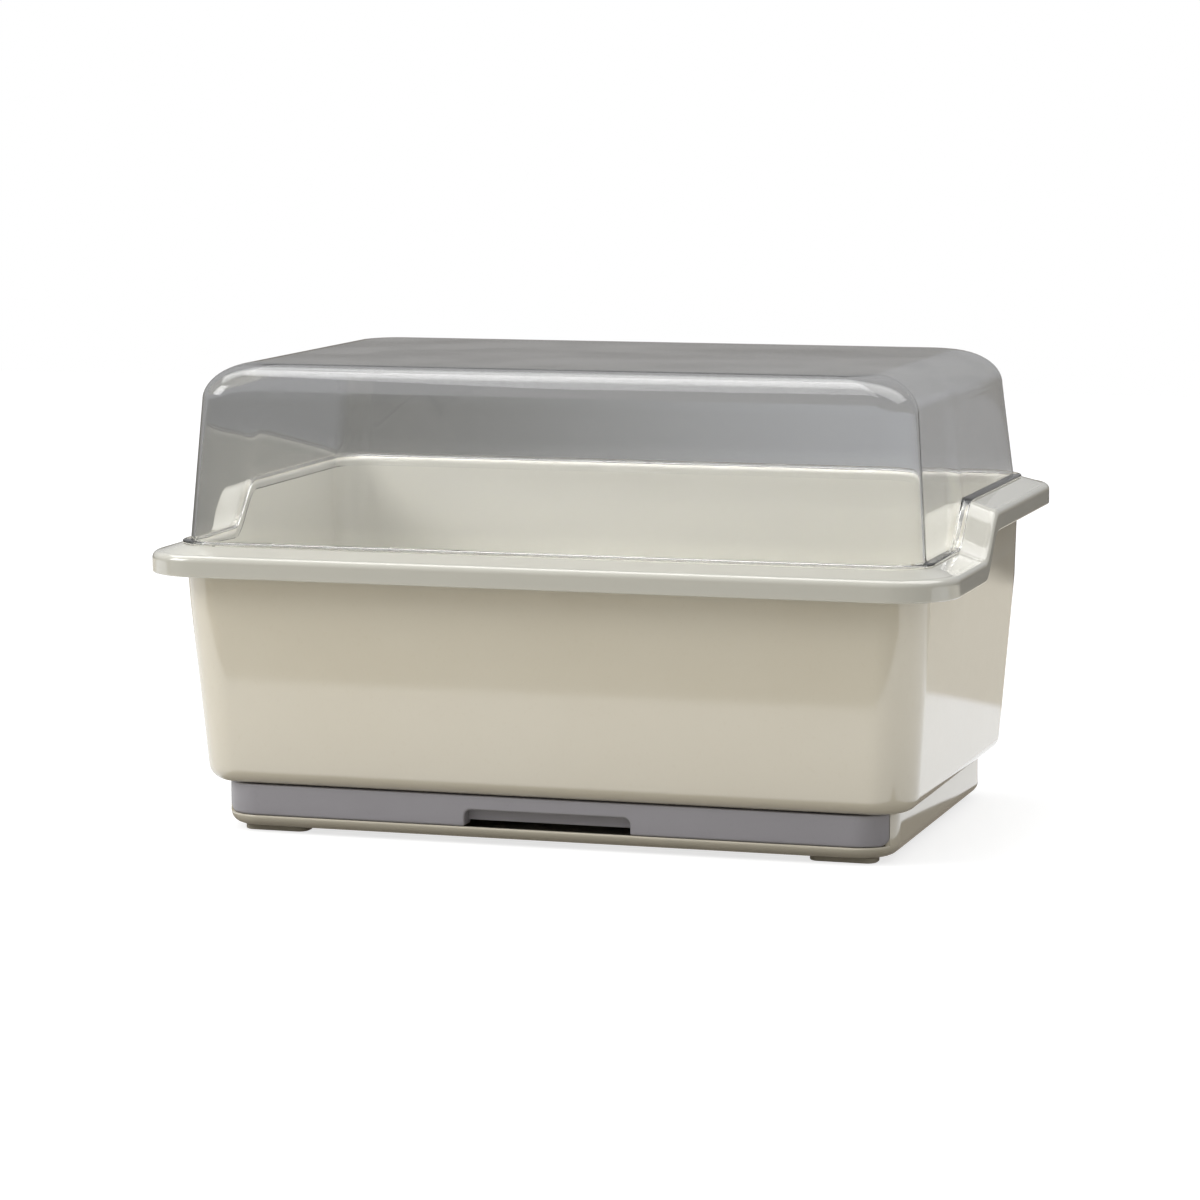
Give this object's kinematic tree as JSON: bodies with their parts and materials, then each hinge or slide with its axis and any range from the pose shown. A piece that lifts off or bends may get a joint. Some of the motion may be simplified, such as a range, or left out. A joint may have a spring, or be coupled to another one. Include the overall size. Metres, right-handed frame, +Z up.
{
  "type": "covered dish rack",
  "caption": "Plastic dish rack: stepped tub with lift-out caddy and racks, smoke-clear lift-off lid and a pull-out drip tray in its base.",
  "frame": {"origin": "middle of the footprint, on the surface it stands on", "axes": "+Z up, +X to the right of someone facing the tray's front, -Y is the front"},
  "size_m": [0.49, 0.32, 0.28],
  "materials": {
    "cream_plastic": "glossy cream polypropylene",
    "grey_plastic": "satin cool grey polypropylene",
    "smoke_clear_plastic": "clear smoke-grey styrene plastic, polished",
    "insert_plastic": "satin off-white polypropylene",
    "screw_steel": "zinc-plated steel",
    "foot_rubber": "matt soft cream rubber"
  },
  "bodies": {
    "rack": {"tub": "cream_plastic", "base_frame": "cream_plastic", "base_screw_1": "screw_steel", "base_screw_2": "screw_steel", "base_screw_3": "screw_steel", "base_screw_4": "screw_steel", "base_screw_5": "screw_steel", "base_screw_6": "screw_steel", "foot_front_left": "foot_rubber", "foot_front_right": "foot_rubber", "foot_rear_left": "foot_rubber", "foot_rear_right": "foot_rubber"},
    "tray": {"drip_tray": "grey_plastic", "tray_front": "grey_plastic"},
    "lid": {"lid": "smoke_clear_plastic"},
    "caddy": {"cutlery_caddy": "insert_plastic"},
    "bowl_rack": {"bowl_rack": "insert_plastic"},
    "plate_rack": {"plate_rack": "insert_plastic"}
  },
  "joints": [
    {"name": "tray_slide", "type": "slide", "parent": "rack", "child": "tray", "axis": [0, -1, 0], "range_m": [0, 0.22]},
    {"name": "lid_lift", "type": "slide", "parent": "rack", "child": "lid", "axis": [0, 0, 1], "range_m": [0, 0.16]},
    {"name": "caddy_lift", "type": "slide", "parent": "rack", "child": "caddy", "axis": [0, 0, 1], "range_m": [0, 0.14]},
    {"name": "bowl_rack_lift", "type": "slide", "parent": "rack", "child": "bowl_rack", "axis": [0, 0, 1], "range_m": [0, 0.15]},
    {"name": "plate_rack_lift", "type": "slide", "parent": "rack", "child": "plate_rack", "axis": [0, 0, 1], "range_m": [0, 0.15]}
  ]
}
